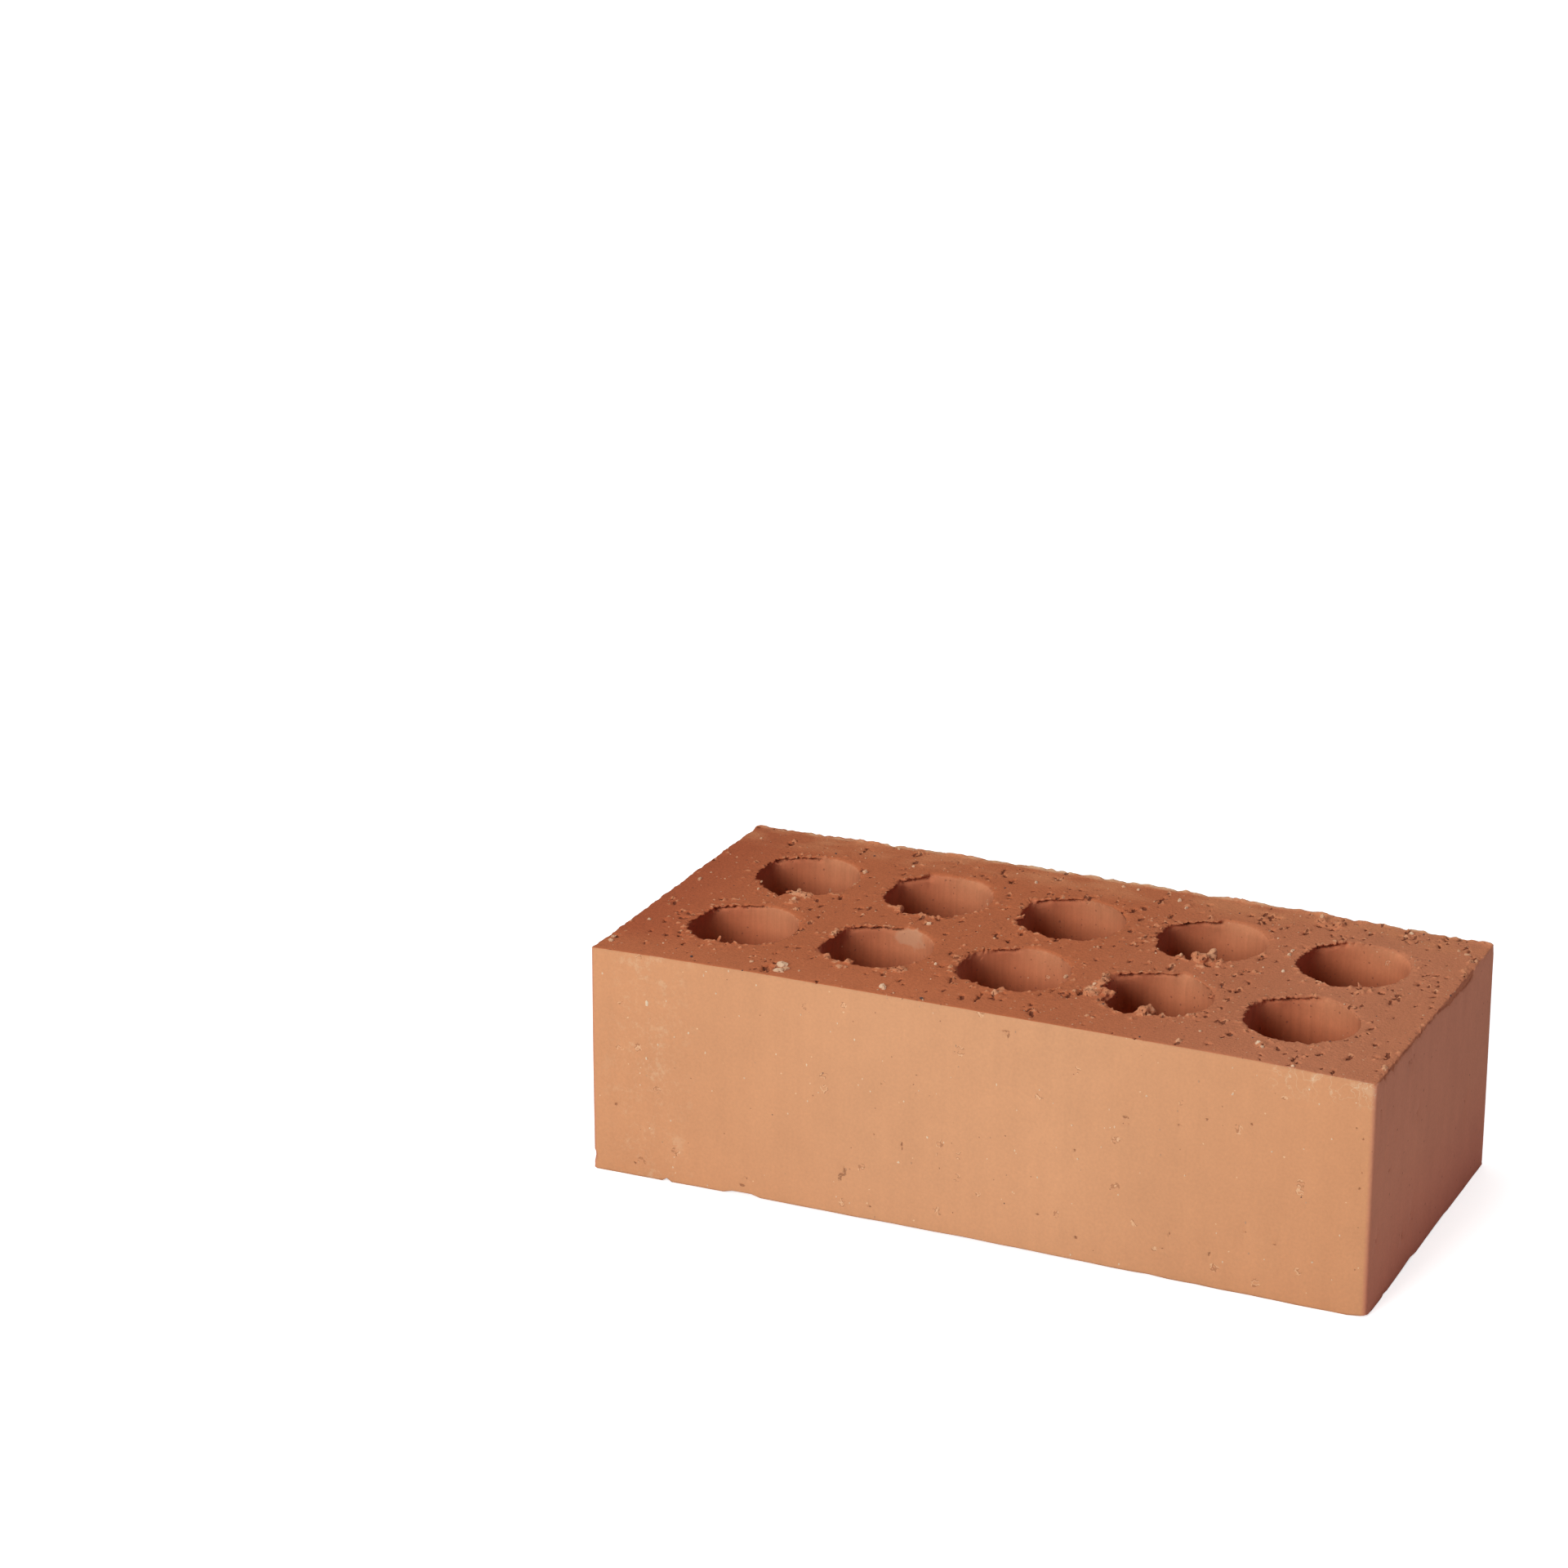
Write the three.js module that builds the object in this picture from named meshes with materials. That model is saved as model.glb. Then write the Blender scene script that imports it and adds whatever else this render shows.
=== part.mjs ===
// A perforated clay brick. Stiff clay is pushed through a die that shapes the section and its
// cores, taut wires cut the column to the brick's height, and the piece is dried and fired.
// Millimetres, +Z up. X runs along the length and Y across the width. The origin is the middle
// of the bottom bed, which is one of the two faces that the wires cut.

import * as THREE from 'three';

// Outside.
const LENGTH = 240;
const WIDTH = 115;
const HEIGHT = 71;

// The die rounds the four upright arrises. The wire leaves the arrises round both beds, and the
// mouths of the cores, with only a narrow softened edge.
const ARRIS_RADIUS = 1.5;
const CUT_EDGE = 0.6;

// Round cores run from bed to bed, in rows along the length.
const CORE_DIAMETER = 33;
const WEB_ALONG = 10.5;
const WEB_ACROSS = 12;

const CORE_SIDES = 40;
const ARRIS_STEPS = 4;
const CUT_EDGE_STEPS = 2;

const CLAY_COLOUR = 0xb4714c;

// Anticlockwise outline with rounded corners, from the corner at +X, +Y.
function roundedRectangle(length, width, radius) {
  const x = length / 2 - radius;
  const y = width / 2 - radius;
  const cornerCentres = [[x, y], [-x, y], [-x, -y], [x, -y]];
  const points = cornerCentres.flatMap(([centreX, centreY], corner) => {
    const start = corner * Math.PI / 2;
    const arc = new THREE.EllipseCurve(centreX, centreY, radius, radius, start, start + Math.PI / 2);
    return arc.getPoints(ARRIS_STEPS);
  });
  return new THREE.Shape(points);
}

// Outline of one core. The last point of the full turn repeats the first and is left out.
function coreOutline(centreX, centreY) {
  const radius = CORE_DIAMETER / 2;
  const circle = new THREE.EllipseCurve(centreX, centreY, radius, radius);
  return new THREE.Path(circle.getPoints(CORE_SIDES).slice(0, -1));
}

// Centres of the cores across one span of the section: as many as leave the outer shells no
// thinner than a web, set evenly about the middle.
function corePlaces(span, web) {
  const pitch = CORE_DIAMETER + web;
  const count = Math.floor((span - web) / pitch);
  return Array.from({ length: count }, (_, index) => (index - (count - 1) / 2) * pitch);
}

// The die's section: the outer outline with every core cut through it.
function dieSection() {
  const section = roundedRectangle(LENGTH, WIDTH, ARRIS_RADIUS);
  for (const x of corePlaces(LENGTH, WEB_ALONG)) {
    for (const y of corePlaces(WIDTH, WEB_ACROSS)) {
      section.holes.push(coreOutline(x, y));
    }
  }
  return section;
}

// The column of clay between two wire cuts. Its softened edge is taken off the full section, so
// the faces and core walls keep their size between the two edges.
function brickBody() {
  const geometry = new THREE.ExtrudeGeometry(dieSection(), {
    depth: HEIGHT - 2 * CUT_EDGE,
    bevelThickness: CUT_EDGE,
    bevelSize: CUT_EDGE,
    bevelOffset: -CUT_EDGE,
    bevelSegments: CUT_EDGE_STEPS,
  });
  geometry.translate(0, 0, CUT_EDGE);
  const firedClay = new THREE.MeshStandardMaterial({
    color: CLAY_COLOUR,
    roughness: 0.92,
    metalness: 0,
  });
  const body = new THREE.Mesh(geometry, firedClay);
  body.name = 'brick_body';
  return body;
}

const group = new THREE.Group();
group.add(brickBody());

export default group;
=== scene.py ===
"""A perforated clay brick, die-drawn, wire-cut and fired, lying on its bed."""
import math

import bmesh
import bpy
import numpy as np
from mathutils import Matrix, Vector
from mathutils.geometry import area_tri


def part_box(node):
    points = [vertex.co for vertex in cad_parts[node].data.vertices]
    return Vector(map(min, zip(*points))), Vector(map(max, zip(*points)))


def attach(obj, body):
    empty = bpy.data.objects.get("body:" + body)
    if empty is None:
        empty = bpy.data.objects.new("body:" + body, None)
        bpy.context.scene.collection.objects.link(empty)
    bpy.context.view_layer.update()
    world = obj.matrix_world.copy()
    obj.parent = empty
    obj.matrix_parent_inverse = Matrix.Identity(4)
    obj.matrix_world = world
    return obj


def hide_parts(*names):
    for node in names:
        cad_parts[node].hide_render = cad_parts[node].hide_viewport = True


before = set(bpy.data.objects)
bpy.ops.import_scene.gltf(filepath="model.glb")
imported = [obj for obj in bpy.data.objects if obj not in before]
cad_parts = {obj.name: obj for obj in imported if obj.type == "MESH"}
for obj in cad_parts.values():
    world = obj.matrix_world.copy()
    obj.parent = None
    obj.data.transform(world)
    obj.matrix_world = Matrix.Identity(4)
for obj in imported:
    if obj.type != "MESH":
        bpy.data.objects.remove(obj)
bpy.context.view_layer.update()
scene = bpy.context.scene
scene.view_settings.view_transform = "Standard"
MM = 0.001

# ----------------------------------------
# Camera. It stands 1.3 m off, a little above the brick and to the right of the long face, with
# a long lens, so the upright arrises stay almost parallel.
# ----------------------------------------
CAMERA_PLACE = Vector((0.43107, -1.11146, 0.54021))
CAMERA_AIM = Vector((-0.08443, 0.00114, 0.10782))

camera_data = bpy.data.cameras.new("camera")
camera_data.lens = 100
camera_data.sensor_width = 36
camera_data.clip_start = 0.05
camera_data.clip_end = 20
camera = bpy.data.objects.new("camera", camera_data)
camera.location = CAMERA_PLACE
camera.rotation_euler = (CAMERA_AIM - CAMERA_PLACE).to_track_quat("-Z", "Y").to_euler()
scene.collection.objects.link(camera)
scene.camera = camera

# ----------------------------------------
# The column of clay. A die draws it in one go with its ten cores, so the section is the same
# all the way up. It starts from the merged solid of the brick, in millimetres.
# ----------------------------------------
random = np.random.default_rng(71)

low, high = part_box("brick_body")
HALF_LENGTH = high.x / MM
HALF_WIDTH = high.y / MM
HEIGHT = high.z / MM
CORE_RADIUS = 16.5
CORE_PITCH_X = 43.5
CORE_PITCH_Y = 45.0
ARRIS_RADIUS = 1.5

body_bm = bmesh.new()
body_bm.from_mesh(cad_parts["brick_body"].data)
bmesh.ops.remove_doubles(body_bm, verts=body_bm.verts, dist=1e-6)
bmesh.ops.scale(body_bm, vec=(1 / MM,) * 3, verts=body_bm.verts)


def from_core(x, y):
    """Distance in plan from the axis of the nearest core."""
    column = min(2, max(-2, round(x / CORE_PITCH_X)))
    row = -0.5 if y < 0 else 0.5
    return math.hypot(x - column * CORE_PITCH_X, y - row * CORE_PITCH_Y)


CORES = [(column * CORE_PITCH_X, row * CORE_PITCH_Y) for row in (-0.5, 0.5) for column in range(-2, 3)]

# ----------------------------------------
# Gouges. The wires pluck grains and scraps of clay out of the beds and drag them along Y, so
# most pits are longer that way, and many end in the scrap that came out of them.
# ----------------------------------------
# The plainest ones on the top bed: x, y, half width, half length, depth.
GOUGES = (
    (-79.3, 51, 0.5, 2.6, 0.9), (-33, 50, 0.5, 2.6, 0.7), (-73.5, 34, 0.5, 1.6, 0.8),
    (-64, 10, 0.6, 0.9, 0.6), (-60, 3, 0.7, 1.2, 0.8), (-72, 0, 0.5, 1.3, 0.7),
    (-101.5, -6.5, 0.8, 1.2, 0.9), (-106.5, -21, 0.5, 1.2, 0.6), (-69.5, -23, 0.8, 1.3, 0.9),
    (-96, -43.5, 0.6, 1.6, 1.0), (-91, -43, 0.5, 1.3, 0.9), (-63.5, -33.5, 0.6, 0.8, 0.7),
    (-67, -34.2, 0.5, 0.8, 0.6), (-21.5, -19, 0.6, 2.2, 0.8), (-25.5, -25.5, 0.4, 1.3, 0.6),
    (-64.9, -52.0, 1.5, 2.3, 2.0), (-13, -39, 0.5, 2.8, 0.8), (-1, -47.5, 0.5, 3.4, 1.0),
    (2.6, -46, 1.0, 1.5, 1.1), (5.6, -46.5, 0.5, 1.0, 0.6), (14, -38, 0.5, 1.2, 0.7),
    (19.5, 47, 0.6, 3.2, 0.9), (34, 50, 0.7, 1.0, 0.9), (48, 46.5, 0.8, 1.2, 0.9),
    (57.5, 38, 0.9, 1.3, 1.1), (69, 47.6, 0.9, 1.3, 1.3), (73.4, 46.6, 1.3, 1.0, 1.4),
    (26.5, 36.5, 0.5, 1.6, 0.8), (19.8, 20, 0.8, 1.4, 0.8), (65, 4.4, 0.8, 1.1, 1.0),
    (54.5, -1.6, 0.5, 1.2, 0.8), (64.8, -3.6, 0.7, 1.2, 0.9), (61, 1.6, 0.5, 1.0, 0.7),
    (108.5, 17.3, 0.8, 1.6, 1.4), (101, 6, 0.9, 1.1, 1.0), (95, 6, 0.8, 1.6, 1.0),
    (106.6, 3.6, 0.9, 1.3, 0.9), (117, 2, 0.5, 1.4, 0.8), (111, -30.4, 0.8, 1.1, 0.9),
    (105, -28, 0.4, 1.2, 0.6), (68, -35, 0.9, 1.4, 1.1), (72.6, -42.2, 1.0, 1.2, 0.9),
    (106.4, -54.4, 0.8, 1.4, 1.0), (94, -51, 0.5, 1.8, 0.8), (24.0, -31.0, 1.0, 2.4, 1.8),
    (21.5, -35.5, 1.2, 1.8, 1.4), (49.5, 4.0, 1.6, 1.0, 1.3), (57, -18.6, 0.7, 2.2, 1.1),
    (70, -51.5, 0.9, 0.9, 0.8),
)
gouges = [(x, y, half_x, half_y, sink, 0.1, 1) for x, y, half_x, half_y, sink in GOUGES]
scraps = []


def scatter_gouge(x, y, size, side):
    """One pit near that place, and at times its scrap at the end that the wire dragged it to."""
    half_x = size * random.uniform(0.7, 1.2)
    half_y = half_x * random.uniform(0.9, 2.8)
    sink = size * random.uniform(1.0, 2.0)
    lean = random.normal(0, 0.3)
    scrap_y = y + half_y * random.choice((-1, 1, 1))
    scrap_size = size * random.uniform(0.7, 1.3) * (random.random() < 0.5)
    if abs(x) < HALF_LENGTH - 1 and abs(y) < HALF_WIDTH - 1 and from_core(x, y) > CORE_RADIUS + half_x:
        gouges.append((x, y, half_x, half_y, sink, lean, side))
        if scrap_size > 0 and abs(scrap_y) < HALF_WIDTH - 1 and from_core(x, scrap_y) > CORE_RADIUS + 0.5:
            scraps.append((x, scrap_y, scrap_size, side))


for side, single_pits, pit_groups in ((1, 420, 62), (-1, 240, 40)):
    for _ in range(single_pits):
        x = HALF_LENGTH * (1 - 2 * random.uniform() ** 0.8) * -side
        y = random.uniform(-HALF_WIDTH, HALF_WIDTH)
        scatter_gouge(x, y, 0.28 + 0.5 * random.uniform() ** 2, side)
    for _ in range(pit_groups):
        middle_x = random.uniform(-HALF_LENGTH, HALF_LENGTH)
        middle_y = random.uniform(-HALF_WIDTH, HALF_WIDTH)
        for _ in range(random.integers(3, 7)):
            scatter_gouge(middle_x + random.normal(0, 1.4), middle_y + random.normal(0, 1.8),
                          0.28 + 0.42 * random.uniform() ** 1.5, side)

# ----------------------------------------
# Torn crumbs. As the wire drags across the soft column it rolls clay over the mouths of the
# cores and breaks it into crumbs, which stay stuck to the bed and fire with it.
# ----------------------------------------
crumb_bm = bmesh.new()
bmesh.ops.create_icosphere(crumb_bm, subdivisions=2, radius=1)
crumb = bpy.data.meshes.new("crumb")
crumb_bm.to_mesh(crumb)
crumb_bm.free()


def add_crumb(place, size, drag=1.0):
    """One lump of clay, drawn out along Y and turned a little, sunk into what is under it."""
    squash = Matrix.Diagonal((*(random.uniform(0.6, 1.2, 3) * size * (1, drag, 1)), 1))
    turn = Matrix.Rotation(random.normal(0, 0.5), 4, Vector(random.normal(0, 1, 3)))
    shape = Matrix.Translation(place) @ turn @ squash
    crumb.transform(shape)
    body_bm.from_mesh(crumb)
    crumb.transform(shape.inverted())


# Where the mounds lie on the top bed: x, y, half length along x, half length along y, height,
# number of crumbs, and how near to the core's axis they hang over the mouth.
MOUNDS = (
    (-81.5, 7.5, 4.2, 3.2, 1.4, 60, 12.6),    # between the two left cores
    (-81, 0, 2.6, 2.4, 0.8, 16, 16), (-78, -6, 1.6, 1, 0.8, 7, 16), (-97.5, -5, 1.5, 0.8, 0.9, 6, 16),
    (-49.5, 7, 1.8, 2.8, 1.5, 26, 13.8), (-37, 5.5, 2, 1.5, 0.8, 8, 15.5),
    (-88.5, -37.5, 1, 1.4, 1.0, 8, 14.5), (-82, -38, 0.8, 1.2, 0.9, 6, 14.8),
    (-59.5, -19.5, 0.9, 3.2, 1.3, 16, 15.2), (-54, -36, 1.6, 1.6, 0.9, 10, 15.5),
    (-45.4, -38.6, 1.2, 1.6, 1.3, 12, 14.6), (-46, -43, 2.2, 1.4, 0.9, 9, 16),
    (-30, -38.2, 1.8, 2.6, 1.5, 22, 15), (-14.3, 17, 0.8, 1.8, 1.0, 8, 15),
    (-10, 7.5, 1.5, 1.8, 0.9, 8, 16), (2.5, -38.8, 1.0, 1.4, 0.9, 8, 15),
    (1, -42.5, 3.5, 1.6, 0.8, 10, 16),
    (118.3, 41.5, 0.8, 1.6, 0.9, 9, 16), (118.6, 30, 0.6, 2.4, 0.6, 9, 16),
    (118.8, -13, 0.5, 2.0, 0.6, 7, 16), (118.8, -33, 0.5, 2.6, 0.6, 8, 16),
    (118.7, -45.5, 0.6, 1.4, 0.8, 7, 16), (118.6, -51.5, 0.6, 1.2, 0.7, 6, 16),
    (26, -19, 1.0, 3.2, 1.3, 14, 16), (27.6, -26.5, 2.2, 3.6, 2.7, 34, 14),    # left of the fourth core
    (30.6, -30.6, 1.9, 2.0, 2.6, 18, 13.0), (26.2, -32.0, 1.5, 2.2, 1.7, 12, 16),
    (21.6, -29.5, 1.0, 2.0, 1.0, 6, 16),
    (45.2, -37.6, 2.1, 2.6, 3.9, 34, 12.3), (50.2, -36.5, 1.1, 1.6, 1.0, 9, 14.2),
    (57.6, -17.5, 1.3, 3.0, 1.4, 16, 15.4), (46.8, 8.3, 3.4, 3.4, 3.1, 56, 12.3),    # the largest
    (40.8, 7.6, 2.2, 1.7, 1.9, 16, 14.2), (52.5, 6.8, 1.8, 2.0, 1.3, 14, 15.6),
    (47.5, 2, 1.3, 1.8, 1.2, 8, 16),
    (94, 9, 1.1, 1.6, 1.1, 9, 14.8), (83, -46, 2.4, 2.2, 1.0, 14, 16), (68, -33, 1.2, 2.0, 1.0, 7, 16),
    (65, 4, 1.2, 1.8, 0.9, 7, 16), (96, 3, 1.6, 2.0, 1.0, 9, 16), (106, 3, 1.4, 1.8, 1.0, 8, 16),
    (68.7, 51, 0.9, 1.0, 1.6, 8, 16), (73.5, 49.5, 1.8, 1.4, 1.5, 10, 16), (20, 45, 1.6, 1.8, 0.9, 7, 16),
    (28, 46, 1.6, 1.4, 0.9, 6, 16), (-101, -6, 1.0, 1.2, 0.9, 4, 16), (-69, -21.5, 0.9, 1.4, 1.1, 5, 16),
    (118, 33, 0.8, 4.0, 0.7, 14, 16), (117.5, 40.5, 1.0, 1.4, 1.0, 8, 16),
    (118, -44.5, 0.8, 1.2, 0.6, 6, 16), (-117.5, -50, 1.0, 2.4, 0.6, 9, 16),
    (-116, -42, 0.9, 1.2, 0.5, 5, 16), (-118, -33, 0.6, 2.0, 0.5, 5, 16),
    (-118, 12, 0.6, 3.0, 0.5, 7, 16), (-117.5, 30, 0.7, 2.4, 0.5, 6, 16),
)
for x, y, half_x, half_y, rise, count, nearest in MOUNDS:
    for number in range(count):
        spread_x, spread_y = random.normal(0, 0.45, 2)
        size = random.uniform(0.3, 0.62) * (0.45 + 0.28 * rise) * (2.1 if number < count // 4 else 1)
        fall = max(0.0, 1 - 0.4 * (spread_x ** 2 + spread_y ** 2))
        crumb_x = x + spread_x * half_x
        crumb_y = y + spread_y * half_y
        over_mouth = from_core(crumb_x, crumb_y) < CORE_RADIUS
        if from_core(crumb_x, crumb_y) > nearest:
            share = random.uniform(-0.9, 0.4) if over_mouth else random.uniform(-0.2, 0.7)
            add_crumb((crumb_x, crumb_y, HEIGHT - 0.25 * size + share * rise * fall), size, 1.6)

# The far rim of each upper mouth keeps a crumbly lip with a tear under it. From and to give its
# part of the rim in degrees, for the front row and then the back row, from left to right.
TEARS = ((93, 146), (86, 143), (107, 132), (88, 150), (92, 147),
         (98, 148), (121, 151), (98, 148), (97, 150), (112, 150))
for (middle_x, middle_y), (start, stop) in zip(CORES, TEARS):
    for _ in range((stop - start) // 2):
        around = math.radians(random.uniform(start, stop))
        away = CORE_RADIUS + random.uniform(-0.1, 1.1)
        size = random.uniform(0.3, 0.6)
        x = middle_x + away * math.cos(around)
        y = middle_y + away * math.sin(around)
        add_crumb((x, y, HEIGHT - 0.1 * size), size)

# Small crumbs crowd the front rims, where the wire left each mouth behind.
FRONT_RIM_CRUMBS = 26
for middle_x, middle_y in CORES:
    for _ in range(FRONT_RIM_CRUMBS):
        around = math.radians(random.normal(262, 36))
        away = CORE_RADIUS + 0.6 + random.exponential(1.6)
        x = middle_x + away * math.cos(around)
        y = middle_y + away * math.sin(around)
        if abs(y) < HALF_WIDTH - 2 and from_core(x, y) > CORE_RADIUS + 0.4:
            size = random.uniform(0.25, 0.6)
            add_crumb((x, y, HEIGHT + random.uniform(-0.1, 0.4) * size), size, 1.2)

for x, y, size, side in scraps:
    add_crumb((x, y, (HEIGHT if side > 0 else 0) + side * 0.25 * size), size, 1.3)

# Single crumbs lie anywhere, most of them near the mouths, on both beds.
for bed_height, side, crumbs in ((HEIGHT, 1, 520), (0, -1, 260)):
    for _ in range(crumbs):
        column = random.integers(-2, 3) * CORE_PITCH_X
        row = random.choice((-0.5, 0.5)) * CORE_PITCH_Y
        around = random.uniform(0, math.tau)
        away = CORE_RADIUS + 0.3 + random.exponential(2.6)
        size = random.uniform(0.24, 0.56)
        x = column + away * math.cos(around)
        y = row + away * math.sin(around)
        if abs(x) < HALF_LENGTH - 2 and abs(y) < HALF_WIDTH - 2 and from_core(x, y) > CORE_RADIUS + 0.2:
            add_crumb((x, y, bed_height + side * random.uniform(-0.1, 0.4) * size), size)


def as_object(name, shape_bm):
    """A new object with that shape."""
    mesh = bpy.data.meshes.new(name)
    shape_bm.to_mesh(mesh)
    shape_bm.free()
    made = bpy.data.objects.new(name, mesh)
    scene.collection.objects.link(made)
    return made


def bake_modifier(owner, kind, **settings):
    """Adds one modifier and puts its result in the mesh."""
    modifier = owner.modifiers.new(kind.lower(), kind)
    for name, value in settings.items():
        setattr(modifier, name, value)
    evaluated = owner.evaluated_get(bpy.context.evaluated_depsgraph_get())
    result = bpy.data.meshes.new_from_object(evaluated)
    owner.modifiers.remove(modifier)
    old = owner.data
    owner.data = result
    bpy.data.meshes.remove(old)


# A remesh makes one skin of the brick and everything that sticks to it.
VOXEL = 0.42
brick = as_object("brick", body_bm)
bake_modifier(brick, "REMESH", mode="VOXEL", voxel_size=VOXEL)


# ----------------------------------------
# The relief that the die, the wires, drying and firing leave. Every vertex of the fine skin is
# moved by formulas of its place, in millimetres.
# ----------------------------------------
def waves(points, size, seed):
    """Smooth random waves, about -1 to 1, of one size or of a size along each axis."""
    scaled = points / np.asarray(size, np.float32) + np.float32(seed * 17.31)
    cell = np.floor(scaled)
    part = scaled - cell
    cell = cell.astype(np.int32)
    ease = part * part * part * (part * (part * 6 - 15) + 10)
    total = np.zeros(len(points), np.float32)
    for corner in np.ndindex(2, 2, 2):
        key = ((cell[:, 0] + corner[0]) * np.int32(73856093)
               ^ (cell[:, 1] + corner[1]) * np.int32(19349663)
               ^ (cell[:, 2] + corner[2]) * np.int32(83492791)) + np.int32(seed * 7919)
        key = (key ^ (key >> 13)) * np.int32(1274126177)
        key ^= key >> 15
        value = np.ones(len(points), np.float32)
        slope = np.zeros(len(points), np.float32)
        for axis in range(3):
            lean = (key >> (4 + 8 * axis) & 255) / np.float32(127.5) - 1
            slope += lean * (part[:, axis] - corner[axis])
            value *= ease[:, axis] if corner[axis] else 1 - ease[:, axis]
        total += value * slope
    return total * 1.5


def fade(values, start, end):
    """0 before start, 1 after end, smooth between them."""
    step = np.clip((values - start) / (end - start), 0, 1)
    return step * step * (3 - 2 * step)


def within(values, near, far):
    """1 up to near, 0 past far, smooth between them."""
    return fade(-values, -far, -near)


def hump(values, middle, half_width):
    """1 at the middle, falling smoothly to nothing past the half width."""
    return np.exp(-((values - middle) / half_width) ** 2)


vertex_count = len(brick.data.vertices)
rest = np.empty(vertex_count * 3, np.float32)
facing = np.empty(vertex_count * 3, np.float32)
brick.data.vertices.foreach_get("co", rest)
brick.data.vertices.foreach_get("normal", facing)
rest = rest.reshape(-1, 3)
facing = facing.reshape(-1, 3)
move = np.zeros_like(rest)
# The next mask marks pits, cracks, the tears under the far rims, marks and nicks, which the finish paints
# dark as shade.
torn_shade = np.zeros(vertex_count, np.float32)
raised = np.zeros(vertex_count, np.float32)
opened = np.zeros(vertex_count, np.float32)

# Place in plan from the nearest core's axis, and distance inwards from the outside.
column = np.clip(np.round(rest[:, 0] / CORE_PITCH_X), -2, 2)
row = np.where(rest[:, 1] < 0, -0.5, 0.5)
across = rest[:, 0] - column * CORE_PITCH_X
along = rest[:, 1] - row * CORE_PITCH_Y
reach = np.maximum(np.hypot(across, along), 0.1)
angle = np.degrees(np.arctan2(along, across))
over_x = np.abs(rest[:, 0]) - (HALF_LENGTH - ARRIS_RADIUS)
over_y = np.abs(rest[:, 1]) - (HALF_WIDTH - ARRIS_RADIUS)
edge = (ARRIS_RADIUS - np.hypot(np.maximum(over_x, 0), np.maximum(over_y, 0))
        - np.minimum(np.maximum(over_x, over_y), 0))
depth_top = np.maximum(HEIGHT - rest[:, 2], 0)
depth_bottom = np.maximum(rest[:, 2], 0)
top = fade(facing[:, 2], 0.2, 0.75) * within(depth_top, 1.5, 3)
bottom = fade(-facing[:, 2], 0.2, 0.75) * within(depth_bottom, 1.5, 3)
out_x = across / reach
out_y = along / reach

# Beds: long low ripples and fine lines along the wire's way. Crumbs stand over it, cracked.
for bed_mask, side, seed in ((top, 1, 1), (bottom, -1, 31)):
    index = np.flatnonzero(bed_mask > 0.01)
    points = rest[index]
    flat = points * np.float32((1, 1, 0.2))
    relief = 0.22 * waves(flat, (38, 60, 50), seed) + 0.08 * waves(flat, (8, 36, 50), seed + 1)
    proud = np.maximum(side * (points[:, 2] - HEIGHT * (side > 0)), 0)
    lumpy = fade(proud, 0.05, 0.4)
    raised[index] = lumpy
    crack = lumpy * (1 - fade(np.abs(waves(points, 2.2, seed + 6)), 0.02, 0.09))
    knobs = lumpy * (0.24 * waves(points, 1.6, seed + 4) + 0.14 * waves(points, 0.8, seed + 5))
    relief += knobs - 0.40 * crack
    torn_shade[index] = 0.7 * crack
    move[index, 2] += side * bed_mask[index] * relief

# The gouges, with steep ragged sides.
for bed_mask, this_side, seed in ((top, 1, 41), (bottom, -1, 43)):
    index = np.flatnonzero(bed_mask > 0.2)
    points = rest[index]
    warp_x = 0.9 * waves(points, 1.3, seed)
    warp_y = 0.9 * waves(points, 1.3, seed + 1)
    for x, y, half_x, half_y, sink, lean, side in gouges:
        if side != this_side:
            continue
        offset_x = points[:, 0] - x
        offset_y = points[:, 1] - y
        close = np.flatnonzero((np.abs(offset_x) < 4) & (np.abs(offset_y) < 7))
        u = (offset_x[close] + lean * offset_y[close] + warp_x[close] * half_x) / half_x
        v = (offset_y[close] + warp_y[close] * half_y) / half_y
        dip = np.exp(-(u * u + v * v) ** 2)
        pit = index[close]
        weight = bed_mask[pit]
        move[pit, 2] -= side * weight * sink * dip
        torn_shade[pit] = np.maximum(torn_shade[pit], weight * dip)

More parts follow.
